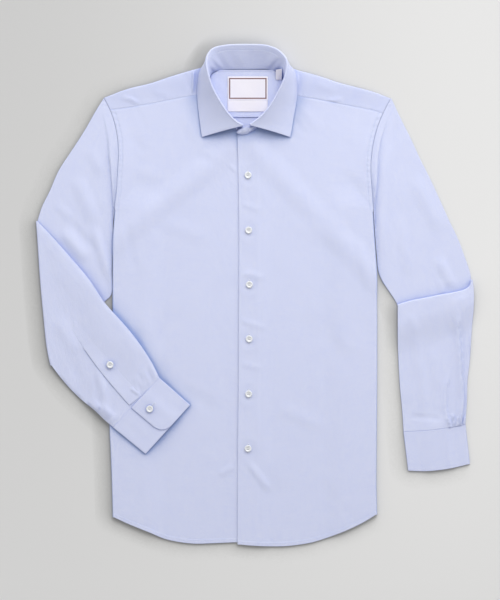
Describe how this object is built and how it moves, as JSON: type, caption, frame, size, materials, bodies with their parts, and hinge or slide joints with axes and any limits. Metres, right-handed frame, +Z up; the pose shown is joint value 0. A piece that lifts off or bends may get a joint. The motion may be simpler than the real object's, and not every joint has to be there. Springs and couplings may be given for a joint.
{
  "type": "long sleeve dress shirt",
  "caption": "Long sleeve dress shirt laid flat and buttoned, with a turned-down collar, barrel cuffs and both sleeves folded.",
  "frame": {"origin": "middle of the shirt's bounding box, on the surface it lies on", "axes": "+Y from the hem to the collar, +Z up out of the front of the shirt, +X to the wearer's left"},
  "size_m": [0.715, 0.816, 0.0355],
  "materials": {
    "shirting": "matt",
    "collar_cloth": "matt",
    "label_cloth": "satin",
    "button": "gloss"
  },
  "bodies": {
    "root": {"back": "shirting", "yoke": "shirting", "yoke_inner": "shirting", "right_front": "shirting", "left_front": "shirting", "right_sleeve": "shirting", "left_sleeve": "shirting", "right_sleeve_placket": "shirting", "right_cuff": "collar_cloth", "left_cuff": "collar_cloth", "collar_stand": "collar_cloth", "collar_leaf": "collar_cloth", "label_main": "label_cloth", "label_lower": "label_cloth", "size_tab": "label_cloth", "front_button_1": "button", "front_button_2": "button", "front_button_3": "button", "front_button_4": "button", "front_button_5": "button", "front_button_6": "button", "placket_button": "button", "cuff_button": "button"}
  },
  "joints": []
}
